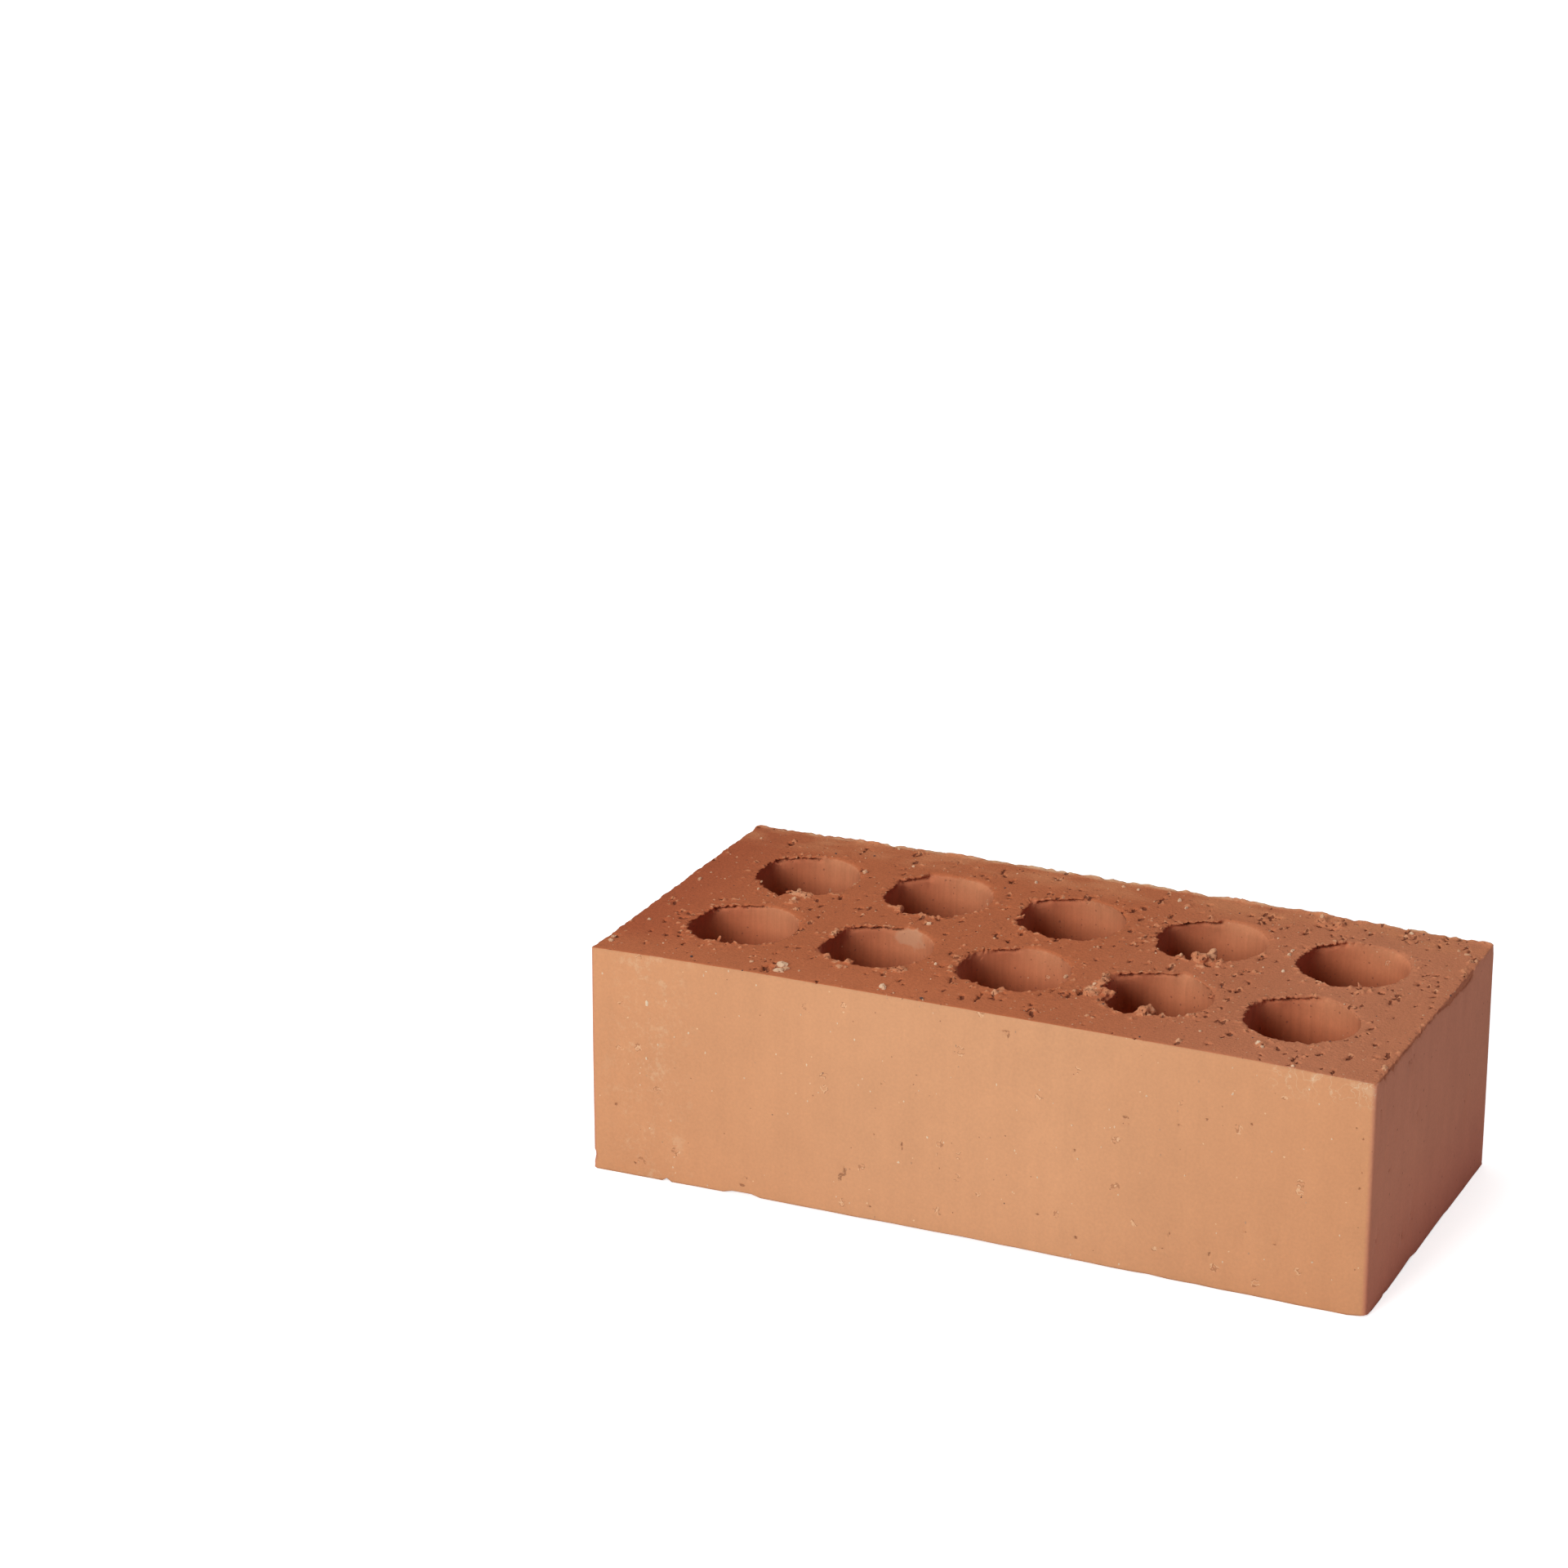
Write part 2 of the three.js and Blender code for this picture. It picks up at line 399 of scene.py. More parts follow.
# Mouths of the cores. The wire tears their rims, so in plan they are far from round: pointed at
# the back left, flattened on the left, notched in front. Each list gives the rim's distance from
# the core's axis, as angle in degrees and millimetres, for the front row and then the back row.
RIMS = (
    ((20, 16.6), (57, 17.6), (76, 17.2), (92, 16.6), (109, 15.6), (129, 16.0), (144, 17.6), (152, 16.0),
     (165, 15.0), (178, 14.3), (190, 14.8), (201, 16.3), (212, 16.8), (257, 17.1), (260, 15.2), (275, 16.3),
     (283, 16.5), (286, 15.3), (291, 16.5), (305, 17.2)),
    ((20, 16.5), (58, 18.0), (79, 17.7), (88, 16.4), (96, 15.3), (107, 15.8), (124, 15.6), (144, 17.7),
     (152, 16.0), (165, 15.2), (180, 15.3), (195, 15.8), (207, 17.0), (215, 18.3), (225, 17.6), (229, 16.2),
     (240, 16.7), (255, 16.4), (270, 16.8), (285, 17.1), (295, 17.7), (330, 16.7)),
    ((20, 16.3), (52, 16.6), (73, 17.4), (90, 18.0), (110, 16.5), (124, 15.8), (141, 16.6), (152, 17.8),
     (163, 16.9), (180, 16.4), (190, 16.5), (200, 17.4), (220, 17.8), (234, 18.1), (238, 16.2), (250, 16.4),
     (262, 17.0), (283, 17.0), (294, 18.3), (313, 18.0), (325, 17.2), (332, 19.0), (339, 17.0)),
    ((16, 16.7), (45, 16.0), (61, 16.0), (75, 17.8), (84, 18.6), (90, 16.2), (107, 15.4), (123, 15.6),
     (140, 17.0), (152, 18.8), (160, 16.9), (172, 15.6), (190, 15.4), (215, 15.6), (228, 17.0), (240, 17.8),
     (250, 18.7), (262, 18.7), (268, 17.0), (285, 16.6), (300, 17.0), (307, 18.2), (315, 17.0)),
    ((16, 16.4), (43, 16.5), (70, 16.9), (88, 18.2), (95, 17.4), (118, 16.0), (133, 15.8), (148, 17.4),
     (156, 16.8), (175, 16.0), (187, 15.9), (200, 16.6), (213, 17.2), (233, 17.5), (281, 17.5), (284, 16.3),
     (291, 17.5), (295, 18.3), (305, 16.4), (344, 16.4)),
    ((20, 16.6), (57, 17.7), (82, 18.2), (100, 17.0), (124, 16.3), (146, 17.8), (154, 16.3), (165, 15.6),
     (180, 14.8), (187, 14.2), (195, 15.1), (218, 15.0), (222, 14.2), (230, 15.5), (243, 16.1), (255, 17.0),
     (263, 18.0), (269, 20.2), (273, 17.0), (307, 16.8)),
    ((6, 16.8), (37, 17.7), (60, 19.0), (87, 18.0), (95, 17.2), (106, 18.8), (120, 19.0), (124, 16.8),
     (136, 16.6), (152, 18.3), (162, 16.4), (172, 15.3), (195, 15.3), (207, 16.0), (225, 16.3), (236, 15.8),
     (252, 16.5), (258, 18.8), (264, 17.8), (273, 16.1), (283, 16.2), (296, 18.6), (312, 17.0)),
    ((20, 16.3), (48, 16.0), (76, 16.2), (93, 17.2), (115, 16.3), (132, 16.0), (150, 18.5), (158, 17.3),
     (166, 16.0), (178, 15.0), (190, 15.1), (203, 15.5), (208, 16.7), (226, 17.8), (231, 16.7), (252, 17.2),
     (261, 16.8), (270, 18.2), (283, 17.3), (297, 18.4), (306, 18.9), (316, 17.4), (326, 17.9), (340, 16.6)),
    ((22, 17.6), (52, 18.4), (74, 18.7), (96, 17.8), (100, 15.3), (124, 15.3), (142, 15.6), (156, 17.2),
     (163, 16.0), (175, 15.0), (187, 15.5), (213, 15.7), (219, 17.0), (235, 17.0), (248, 17.4), (285, 17.0),
     (306, 16.5), (353, 16.8)),
    ((14, 17.2), (38, 18.4), (54, 19.0), (76, 17.4), (97, 17.0), (113, 18.0), (130, 16.6), (148, 16.9),
     (156, 15.4), (165, 15.0), (180, 15.0), (190, 15.4), (200, 16.2), (238, 16.4), (255, 17.0), (270, 18.3),
     (279, 18.0), (285, 16.8), (300, 16.3), (310, 17.0), (324, 16.5), (348, 16.4)),
)
RIM_RADIUS = 16.8
index = np.flatnonzero(reach < CORE_RADIUS + 6)
points = rest[index]
near_top = np.exp(-depth_top[index] / 1.5)
near_bottom = np.exp(-depth_bottom[index] / 2.0)
hold = within(reach[index], CORE_RADIUS + 0.5, CORE_RADIUS + 5.5)
turn = angle[index] % 360
core_number = (column[index] + 2 + 5 * (row[index] > 0)).astype(int)
rim = np.zeros(len(index), np.float32)
for number, places in enumerate(RIMS):
    around = core_number == number
    rim[around] = np.interp(turn[around], *zip(*places), period=360) - RIM_RADIUS

# The rims are frayed, most on the left, where they have teeth.
rough_side = 0.45 + 0.55 * fade(-np.cos(np.radians(turn - 10)), -0.6, 0.2)
teeth = 0.60 + 0.85 * hump(turn, 170, 45)
fray = rough_side * (0.70 * waves(points, (1.5, 1.8, 1.6), 12)
                     + teeth * waves(points, (0.9, 1.0, 1.1), 13))
worn_mouth = (out_y[index] ** 2 - 0.6 * out_x[index] ** 2 + 0.9 * waves(points, (6, 6, 7), 11)
              + 0.6 * waves(points, (2.2, 2.6, 2.2), 14))
push = hold * (near_top * rim + near_bottom * worn_mouth
               + fray * (np.exp(-depth_top[index] / 0.8) + np.exp(-depth_bottom[index] / 0.8)))

# Between the mouths the walls wander a little.
wall = within(reach[index], CORE_RADIUS + 0.3, CORE_RADIUS + 1.5)
inside = 1 - np.maximum(near_top, near_bottom)
push += wall * inside * 0.14 * waves(points, (17, 17, 60), 15)

# On the right the wire rolled each upper rim over.
rolled = fade(np.cos(np.radians(turn)), 0.35, 0.9)
past_rim = np.clip(1 - (reach[index] - CORE_RADIUS) / 2.6, 0, 1)
under_rim = np.clip(1 - depth_top[index] / 2.2, 0, 1)
move[index, 2] -= 0.6 * rolled * top[index] * past_rim ** 2
push += 0.5 * rolled * (1 - top[index]) * wall * under_rim ** 2

# Under the far rim a lip hangs over a tear that gapes more and less.
start = np.float32([tear[0] for tear in TEARS])[core_number]
stop = np.float32([tear[1] for tear in TEARS])[core_number]
far_rim = fade(turn, start - 4, start + 3) * (1 - fade(turn, stop - 3, stop + 4)) * wall
lip_depth = depth_top[index] + 0.5 * waves(points, (2.4, 2.4, 9), 17)
gape = np.clip(0.8 + 0.8 * waves(points, (3.5, 3.5, 60), 18), 0.25, 1.2)
push += far_rim * (1.2 * gape * hump(lip_depth, 0.95, 0.45) - 0.5 * hump(lip_depth, 0.1, 0.45))
torn_shade[index] = np.maximum(torn_shade[index], 0.7 * far_rim * gape * hump(lip_depth, 0.95, 0.45))
move[index, 0] += push * out_x[index]
move[index, 1] += push * out_y[index]

# Die faces: drying lets them wander a little.
index = np.flatnonzero(edge < 1.5)
points = rest[index]
side_face = within(edge[index], 0.2, 1.2) * (1 - top[index]) * (1 - bottom[index])
skin = 0.20 * waves(points, (55, 55, 60), 21) + 0.03 * waves(points, (7, 7, 40), 22)
move[index] += (side_face * skin)[:, None] * facing[index]

# Small marks that handling and grit left in them: place along the face, height, half width, half
# height and depth. The front has them by x, the right end by y. The faint ones are smears. The back
# and the left end have some at random places.
FRONT_MARKS = (
    (11.5, 66.5, 1.2, 0.4, 0.5), (12.3, 65.7, 0.4, 0.9, 0.4), (-38.9, 12.4, 1.5, 0.6, 0.3),
    (-37.9, 13.8, 0.6, 1.6, 0.3), (-39.4, 11.2, 0.7, 0.9, 0.3), (-65, 58, 0.6, 0.3, 0.3),
    (-60, 55, 0.7, 0.3, 0.3), (-29, 27, 0.6, 0.4, 0.4), (-20, 25, 0.4, 1.6, 0.3), (48, 47, 1.2, 0.4, 0.3),
    (49, 45, 0.4, 0.5, 0.3), (64, 47.5, 0.8, 0.4, 0.3), (-106, 4, 0.6, 0.5, 0.3), (-71, 3, 1.4, 0.6, 0.3),
    (-69.5, 5.5, 0.6, 0.5, 0.3), (-30, 4, 0.8, 0.4, 0.3), (62, 14, 0.4, 0.9, 0.3),
    (74, 10, 0.4, 1.1, 0.3), (22, 12, 0.9, 0.4, 0.3), (34, 7, 0.5, 0.6, 0.3), (72, 51, 0.7, 0.3, 0.3),
    (85, 52, 0.5, 0.4, 0.4), (-112, 22, 0.5, 0.6, 0.5), (33, 34, 0.4, 0.4, 0.4), (60, 9, 0.5, 0.3, 0.3),
    (84, 19, 0.5, 0.4, 0.4), (93, 17, 0.5, 0.3, 0.4), (115, 57, 0.3, 0.3, 0.3), (117, 54, 0.3, 0.4, 0.4),
    (117, 44, 0.3, 0.3, 0.3), (116.6, 39, 0.6, 0.5, 0.3), (115.5, 20, 0.3, 0.3, 0.3),
)
END_MARKS = (
    (-41, 38.5, 0.6, 0.4, 0.6), (-51, 21, 0.5, 0.6, 0.5), (-25, 11, 0.6, 1.6, 0.5),
    (-16, 46, 0.5, 0.5, 0.5), (-52, 61, 0.6, 0.4, 0.4), (-44, 52, 0.9, 3.0, 0.14),
    (-38, 49, 0.8, 3.6, 0.14), (-33, 56, 0.8, 2.2, 0.12), (-47, 44, 0.8, 2.6, 0.12),
    (-27, 65.5, 0.6, 1.0, 0.3), (-25, 64.8, 0.5, 1.3, 0.3), (-22.5, 66, 0.4, 0.9, 0.3),
    (-17, 15, 0.5, 0.7, 0.4), (33, 30, 0.7, 0.5, 0.3),
)


def random_marks(half_span, number):
    """That many marks, clear of the edges of a face that reaches that far to both sides."""
    return [(random.uniform(4 - half_span, half_span - 4), random.uniform(4, HEIGHT - 4),
             *random.uniform(0.3, 0.8, 2), random.uniform(0.25, 0.5)) for _ in range(number)]


FAINT = 0.15
back_marks = random_marks(HALF_LENGTH, 26)
left_marks = random_marks(HALF_WIDTH, 12)
for marks, middle in ((FRONT_MARKS, (0, -HALF_WIDTH)), (END_MARKS, (HALF_LENGTH, 0)),
                      (back_marks, (0, HALF_WIDTH)), (left_marks, (-HALF_LENGTH, 0))):
    facing_out = 1 if middle[0] else 0
    on_face = np.abs(points[:, 1 - facing_out] - middle[1 - facing_out]) < 1
    for place_along, place_up, half_along, half_up, sink in marks:
        u = (points[:, facing_out] - place_along) / half_along
        v = (points[:, 2] - place_up) / half_up
        dip = side_face * on_face * np.exp(-(u * u + v * v) ** 1.5)
        move[index] -= (sink * dip)[:, None] * facing[index]
        torn_shade[index] = np.maximum(torn_shade[index], (0.3 if sink < FAINT else 0.68) * dip)

# Arrises that the wires left: crisp along the front where they went in, rolled over and broken
# along the back where they came out, and chipped along the ends.
index = np.flatnonzero(edge < 5)
points = rest[index]
front = fade(-points[:, 1], HALF_WIDTH - 4, HALF_WIDTH - 1)
back = fade(points[:, 1], HALF_WIDTH - 4, HALF_WIDTH - 1)
at_top = within(edge[index], 0.1, 2.4) * np.exp(-depth_top[index] / 1.3)
at_bottom = within(edge[index], 0.1, 2.4) * np.exp(-depth_bottom[index] / 1.5)
chips = (0.25 + 0.55 * waves(points * np.float32((1, 1, 0.3)), (6.5, 6.5, 6), 24)
         + 0.5 * waves(points, (2.3, 2.3, 2.3), 25) + 0.3 * waves(points, 1.1, 26))
right_end = fade(points[:, 0], HALF_LENGTH - 4, HALF_LENGTH - 1)
at_corner = fade(np.minimum(over_x[index], over_y[index]), -4, -0.5)
chips *= 1 - 0.85 * at_corner
at_bed = np.maximum(within(depth_top[index], 0.15, 0.55), within(depth_bottom[index], 0.15, 0.55))
on_edge = within(edge[index], 0.15, 0.55) * at_bed

# The front and right arrises are drawn out a little, so that they are crisp.
crisp = np.maximum(front, right_end)
move[index] += ((0.24 + 0.26 * (points[:, 2] < 10)) * on_edge * crisp)[:, None] * facing[index]

# The others are chipped, and the right end's upper one is nicked.
keep = at_top * (1 - 0.9 * front) * (1 - 0.5 * right_end) + at_bottom * (1 - 0.9 * crisp)
in_plan = np.float32((1, 1, 0))
nicks = 0.9 * waves(points, (2.6, 2.0, 2.6), 36) + 0.6 * waves(points, (1.0, 1.0, 1.0), 37)
nicks = np.maximum(nicks - 0.1, 0)
move[index, 2] -= at_top * right_end * (1 - at_corner) * nicks
nicked = 0.5 * at_top * right_end * (1 - at_corner) * fade(nicks, 0.5, 0.9)
torn_shade[index] = np.maximum(torn_shade[index], nicked)
move[index] -= (keep * chips)[:, None] * facing[index] * in_plan
move[index, 2] += (at_bottom * (1 - right_end) - at_top) * (1 - 0.9 * front) * 0.4 * np.maximum(chips, 0)

# Along the back the wire rolled up a low burr, and dragged the arris out on the left.
lumps = 0.40 + 0.75 * waves(points, (8.5, 30, 30), 27) + 0.50 * waves(points, (2.4, 1.7, 2), 28)
burr = within(edge[index], 0.8, 2.8) * within(depth_top[index], 0.2, 2) * back * np.maximum(lumps, 0)
move[index, 2] += 0.85 * burr
raised[index] = np.maximum(raised[index], np.clip(burr * 1.2, 0, 0.8))
back_edge = within(edge[index], 1.5, 5) * np.exp(-depth_top[index] / 3.0) * fade(points[:, 1], 48, 56)
move[index, 1] += back_edge * (0.6 - 0.9 * fade(points[:, 0], -40, 118))

# The right end: under its top arris the wire broke the skin off in a band, down to these depths,
# from front to back.
BAND = ((-57, 0.3), (-51, 0.8), (-49.5, 2.0), (-48, 0.9), (-44, 0.8), (-42, 2.4), (-40.5, 0.8),
        (-30, 1.0), (-22, 0.5), (-17, 1.4), (-13, 0.6), (0, 0.8), (6, 1.6), (12, 2.6), (20, 2.2),
        (26, 3.0), (33, 2.9), (35, 2.4), (35.6, 0.5), (39, 0))
end_face = fade(points[:, 0], HALF_LENGTH - 2.5, HALF_LENGTH - 1)
band_foot = (np.interp(points[:, 1], *zip(*BAND)) + 0.35 * waves(points * in_plan, (2.6, 2.6, 9), 29)
             + 0.35 * waves(points * in_plan, (1.1, 1.1, 9), 30))
band = end_face * (1 - fade(depth_top[index] - band_foot, -0.15, 0.15)) * (band_foot > 0.2)
rough_break = 0.45 + 0.3 * waves(points, 2.2, 34) + 0.2 * waves(points, 1.1, 35)
move[index, 0] -= band * rough_break * fade(depth_top[index], 0, 0.5)
opened[index] = band

# Its bottom arris and the front one have small steps and notches: place and how far up.
END_STEPS = ((-42.5, 0), (-42, 0.6), (-38, 0.1), (-26, 0.4), (-18, 0.9), (-16, 0.9), (-11, 0), (-4, 0.2),
             (16, 0.5), (21, 0))
FRONT_STEPS = ((-97, 0), (-95.5, 1.2), (-94, 0), (-77, 0), (-74, 0.9), (-68, 0.9), (-65, 0), (50, 0),
               (56, 0.3), (62, 0), (70, 0.2), (78, 0), (86, 0.2), (95, 0))
lift = end_face * np.interp(points[:, 1], *zip(*END_STEPS))
lift = np.maximum(lift, front * np.interp(points[:, 0], *zip(*FRONT_STEPS)))
move[index, 2] += np.exp(-depth_bottom[index] / 1.6) * lift

# Corners: the lower one at the front right rounds up, the upper one at the back right is a little
# worn, and the front left one has a nick just above the floor.
from_corner = np.linalg.norm(points - np.float32((HALF_LENGTH, -HALF_WIDTH, 0)), axis=1)
move[index, 2] += 0.6 * within(from_corner, 1, 7) * np.exp(-depth_bottom[index] / 2)
from_corner = np.linalg.norm(points - np.float32((HALF_LENGTH, HALF_WIDTH, HEIGHT)), axis=1)
move[index] -= within(from_corner, 0.5, 3)[:, None] * np.float32((0.1, 0.2, 0.2))
from_nick = np.linalg.norm(points - np.float32((-HALF_LENGTH, -HALF_WIDTH, 4)), axis=1)
move[index] += within(from_nick, 0.3, 2.2)[:, None] * np.float32((0.7, 0.6, 0))

# The whole brick has bowed a little in drying and firing: its middle stands off the floor, and
# what hung lower was pressed flat.
BOW_BELOW = 0.7
BOW_ABOVE = 0.95
HEAD_AT_ENDS = 70.45
HEAD_TILT = 0.12
PRESSED = 0.1
placed = rest + move
along_x = np.abs(placed[:, 0]) / HALF_LENGTH
floor_line = BOW_BELOW * (1 - along_x ** 2) * (1 - 0.55 * np.maximum(placed[:, 0], 0) / HALF_LENGTH)
head_line = HEAD_AT_ENDS + BOW_ABOVE * (1 - along_x ** 3) - HEAD_TILT * placed[:, 0] / HALF_LENGTH
placed[:, 2] = floor_line + placed[:, 2] / HEIGHT * (head_line - floor_line)
pressed = PRESSED * np.exp(np.minimum(placed[:, 2] / PRESSED - 1, 0))
placed[:, 2] = np.where(placed[:, 2] < PRESSED, pressed, placed[:, 2])
brick.data.vertices.foreach_set("co", placed.ravel())

# What the clay's finish follows: wire-cut beds, core walls, pits, cracks and tears painted dark as shade,
# and rolled-up crumbs.
core = within(reach, CORE_RADIUS + 0.2, CORE_RADIUS + 1.2)
core = core * (1 - np.maximum(top, bottom)) * (1 - raised)
on_bed = within(np.minimum(depth_top, depth_bottom), 0.4, 0.9) * fade(edge, 0.5, 0.8)
cut = np.maximum(np.maximum(top, bottom) * fade(edge, 0.25, 0.55), on_bed)
cut = np.maximum(cut, np.maximum(opened, raised))
for name, values in (("cut", cut), ("core", core), ("torn_shade", torn_shade), ("raised", raised)):
    layer = brick.data.attributes.new(name, "FLOAT", "POINT")
    layer.data.foreach_set("value", values.astype(np.float32))
brick.data.update()

# The fine skin is thinned, least on the top bed and where it is torn.
TRIANGLES = 190000
STEPS = 20
detail = np.maximum(torn_shade, raised)
near_mouth = np.exp(-depth_top / 0.8) * (reach < CORE_RADIUS + 1.5)
free = 1 - np.clip(0.35 * top + 0.5 * near_mouth + 1.5 * detail * top + 0.5 * detail * bottom
                   + 0.8 * detail * (1 - top) * (1 - bottom) + 0.6 * opened, 0, 0.98)
group = brick.vertex_groups.new(name="thinned")
for step in range(STEPS):
    members = np.flatnonzero((free * STEPS).astype(int).clip(0, STEPS - 1) == step)
    group.add(members.tolist(), (step + 0.5) / STEPS, "REPLACE")
triangles = len(brick.data.loops) - 2 * len(brick.data.polygons)
bake_modifier(brick, "DECIMATE", ratio=TRIANGLES / triangles, vertex_group="thinned",
              vertex_group_factor=0.08, use_collapse_triangulate=True)
brick.vertex_groups.clear()

# Scraps that the remesh left loose are dropped: only the brick itself stays.
brick_bm = bmesh.new()
brick_bm.from_mesh(brick.data)
unseen = set(brick_bm.verts)
parts = []
while unseen:
    part = [unseen.pop()]
    for vertex in part:
        for link in vertex.link_edges:
            other = link.other_vert(vertex)
            if other in unseen:
                unseen.remove(other)
                part.append(other)
    parts.append(part)
parts.sort(key=len)
loose = [vertex for part in parts[:-1] for vertex in part]
bmesh.ops.delete(brick_bm, geom=loose, context="VERTS")


def area_without(corner, target):
    """Area of the faces round a corner once it is welded to its neighbour."""
    area = 0
    for face in corner.link_faces:
        beside = [edge.other_vert(corner).co for edge in face.edges if corner in edge.verts]
        area += area_tri(target.co, *beside)
    return area


# Thinning folds a few long slivers over, most of them on the straight core walls. Where two faces
# fold back on each other, the corner with the fewer edges is welded to a neighbour. Short creases
# of the torn clay near the beds are meant, and stay.
MOST_ROUNDS = 30
FOLDED_BACK = 2.1
SHORT_CREASE = 1.5
NEAR_BED = 5
for _ in range(MOST_ROUNDS):
    brick_bm.normal_update()
    welds = {}
    beside = set()
    for crease in brick_bm.edges:
        off_beds = NEAR_BED < crease.verts[0].co.z < HEIGHT - NEAR_BED
        unmeant = off_beds or crease.calc_length() > SHORT_CREASE
        if not unmeant or crease.calc_face_angle(0) < FOLDED_BACK:
            continue
        corner = min(crease.verts, key=lambda vertex: len(vertex.link_edges))
        ring = [edge.other_vert(corner) for edge in corner.link_edges]
        targets = [vertex for vertex in ring
                   if sum(edge.other_vert(vertex) in ring for edge in vertex.link_edges) == 2]
        if targets and not beside.intersection(ring):
            welds[corner] = min(targets, key=lambda vertex: area_without(corner, vertex))
            beside.update(ring)
            beside.add(corner)
    if not welds:
        break
    bmesh.ops.weld_verts(brick_bm, targetmap=welds)
brick_bm.to_mesh(brick.data)
brick_bm.free()
brick.data.transform(Matrix.Scale(MM, 4))
brick.data.shade_smooth()

# ----------------------------------------
# Fired clay. The die leaves a paler skin on the four sides and the wires lay the clay open on the beds,
# which are painted darker and redder, partly as painted shade of the rough bed in grazing light. It is
# speckled with iron, small pits and a little lime.
# ----------------------------------------
clay = bpy.data.materials.new("fired_clay")
clay.use_nodes = True


def feed(tree, node, inputs):
    """Gives a node's inputs, by name or as _ and number, their values or other nodes' outputs."""
    for name, value in inputs.items():
        socket = node.inputs[int(name[1:]) if name[0] == "_" else name]
        if isinstance(value, bpy.types.NodeSocket):
            tree.links.new(value, socket)
        else:
            socket.default_value = value


def add_to(tree, kind, settings=None, **inputs):
    """One node of that tree, with its settings and inputs."""
    made = tree.nodes.new("ShaderNode" + kind)
    for name, value in (settings or {}).items():
        setattr(made, name, value)
    feed(tree, made, inputs)
    return made.outputs


def add(kind, settings=None, **inputs):
    return add_to(clay.node_tree, kind, settings, **inputs)


def scaled_place(size, seed):
    """Place on the brick in units of that many millimetres along each axis."""
    return add("Mapping", Vector=place, Location=(seed * 3.7, seed * 1.9, seed * 5.3),
               Scale=[1000 / part for part in size])[0]


def speckle(size, seed, detail=2.0, rough=0.5):
    """Noise, 0 to 1, with features of that size."""
    at = scaled_place(size, seed)
    return add("TexNoise", Vector=at, Scale=1.0, Detail=detail, Roughness=rough)["Fac"]


def math_node(operation, *values, clamp=False, tree=clay.node_tree):
    inputs = {"_" + str(number): value for number, value in enumerate(values)}
    return add_to(tree, "Math", {"operation": operation, "use_clamp": clamp}, **inputs)[0]


def times(first, second):
    return math_node("MULTIPLY", first, second)


def plus(first, second):
    return math_node("ADD", first, second)


def away_from(value, middle):
    """How far a value is from a middle one."""
    return math_node("ABSOLUTE", math_node("SUBTRACT", value, middle))


def ramp(value, start, end, low=0.0, high=1.0):
    return add("MapRange", {"clamp": True}, Value=value, **{
        "From Min": start, "From Max": end, "To Min": low, "To Max": high})[0]


def blend(factor, first, second, how="MIX"):
    return add("Mix", {"data_type": "RGBA", "blend_type": how}, _0=factor, _6=first, _7=second)[2]


def attribute(name):
    return add("Attribute", {"attribute_name": name})["Fac"]


def grains(spacing, radius, share, seed):
    """Ragged grains of about that radius in that share of the cells of the clay, 0 to 1."""
    warp = add("TexNoise", Vector=scaled_place((radius * 2,) * 3, seed), Scale=1.0, Detail=1.0)["Color"]
    warp = add("VectorMath", {"operation": "SCALE"}, _0=warp, Scale=1.6 * radius / spacing)[0]
    ragged = add("VectorMath", {"operation": "ADD"}, _0=scaled_place((spacing,) * 3, seed), _1=warp)[0]
    cells = add("TexVoronoi", {"feature": "F1"}, Vector=ragged, Scale=1.0)
    chance = add("SeparateColor", Color=cells["Color"])
    size = ramp(chance[1], 0, 1, 0.4 * radius / spacing, 1.3 * radius / spacing)
    inside = math_node("LESS_THAN", cells["Distance"], size)
    return times(inside, math_node("LESS_THAN", chance[0], share))


place = add("TexCoord")["Object"]
axes = add("SeparateXYZ", Vector=place)
cut = attribute("cut")
in_core = attribute("core")
torn_shade_mask = attribute("torn_shade")
is_raised = attribute("raised")

SKIN = (0.638, 0.320, 0.164, 1)
SKIN_BY_END = (0.618, 0.290, 0.141, 1)
# The end colours are painted shade: pinker than the long faces and darker low down.
END_SKIN_SHADE = (0.628, 0.260, 0.150, 1)
END_SKIN_LOW_SHADE = (0.605, 0.228, 0.136, 1)
# The bed colours are partly painted shade: darker and redder than the skin, most towards the left.
SHADED_CUT_LEFT = (0.425, 0.104, 0.040, 1)
SHADED_CUT_MIDDLE = (0.488, 0.139, 0.0535, 1)
SHADED_CUT_RIGHT = (0.530, 0.191, 0.0925, 1)
SHADED_CUT_FRONT = (0.518, 0.154, 0.061, 1)
SHADED_CUT_BACK = (0.600, 0.225, 0.100, 1)
# The core colours carry painted shade: darker and redder to the sides and deep inside.
CORE_MOUTH = (0.602, 0.231, 0.112, 1)
CORE_SIDE_SHADE = (0.580, 0.184, 0.086, 1)
CORE_DEEP_SHADE = (0.520, 0.136, 0.056, 1)
# Near-black red for painted shade in pits, cracks and tears.
PIT_SHADE = (0.150, 0.038, 0.017, 1)
CRUMB = (0.635, 0.262, 0.128, 1)
# The paler crumb colour is a painted highlight.
PALE_CRUMB_HIGHLIGHT = (0.73, 0.40, 0.225, 1)
LIME = (0.82, 0.58, 0.36, 1)
IRON = (0.22, 0.075, 0.045, 1)

cloud = speckle((46, 46, 46), 1, 3)
mottle = speckle((7, 7, 9), 2, 3)
grain = speckle((0.9, 0.9, 0.9), 3, 3, 0.6)
upright = speckle((4, 4, 70), 4, 2)
dragged = speckle((1.3, 9, 9), 5, 3)
fray = speckle((0.7, 0.9, 0.7), 6, 2)
patch = speckle((9, 12, 9), 7, 2)

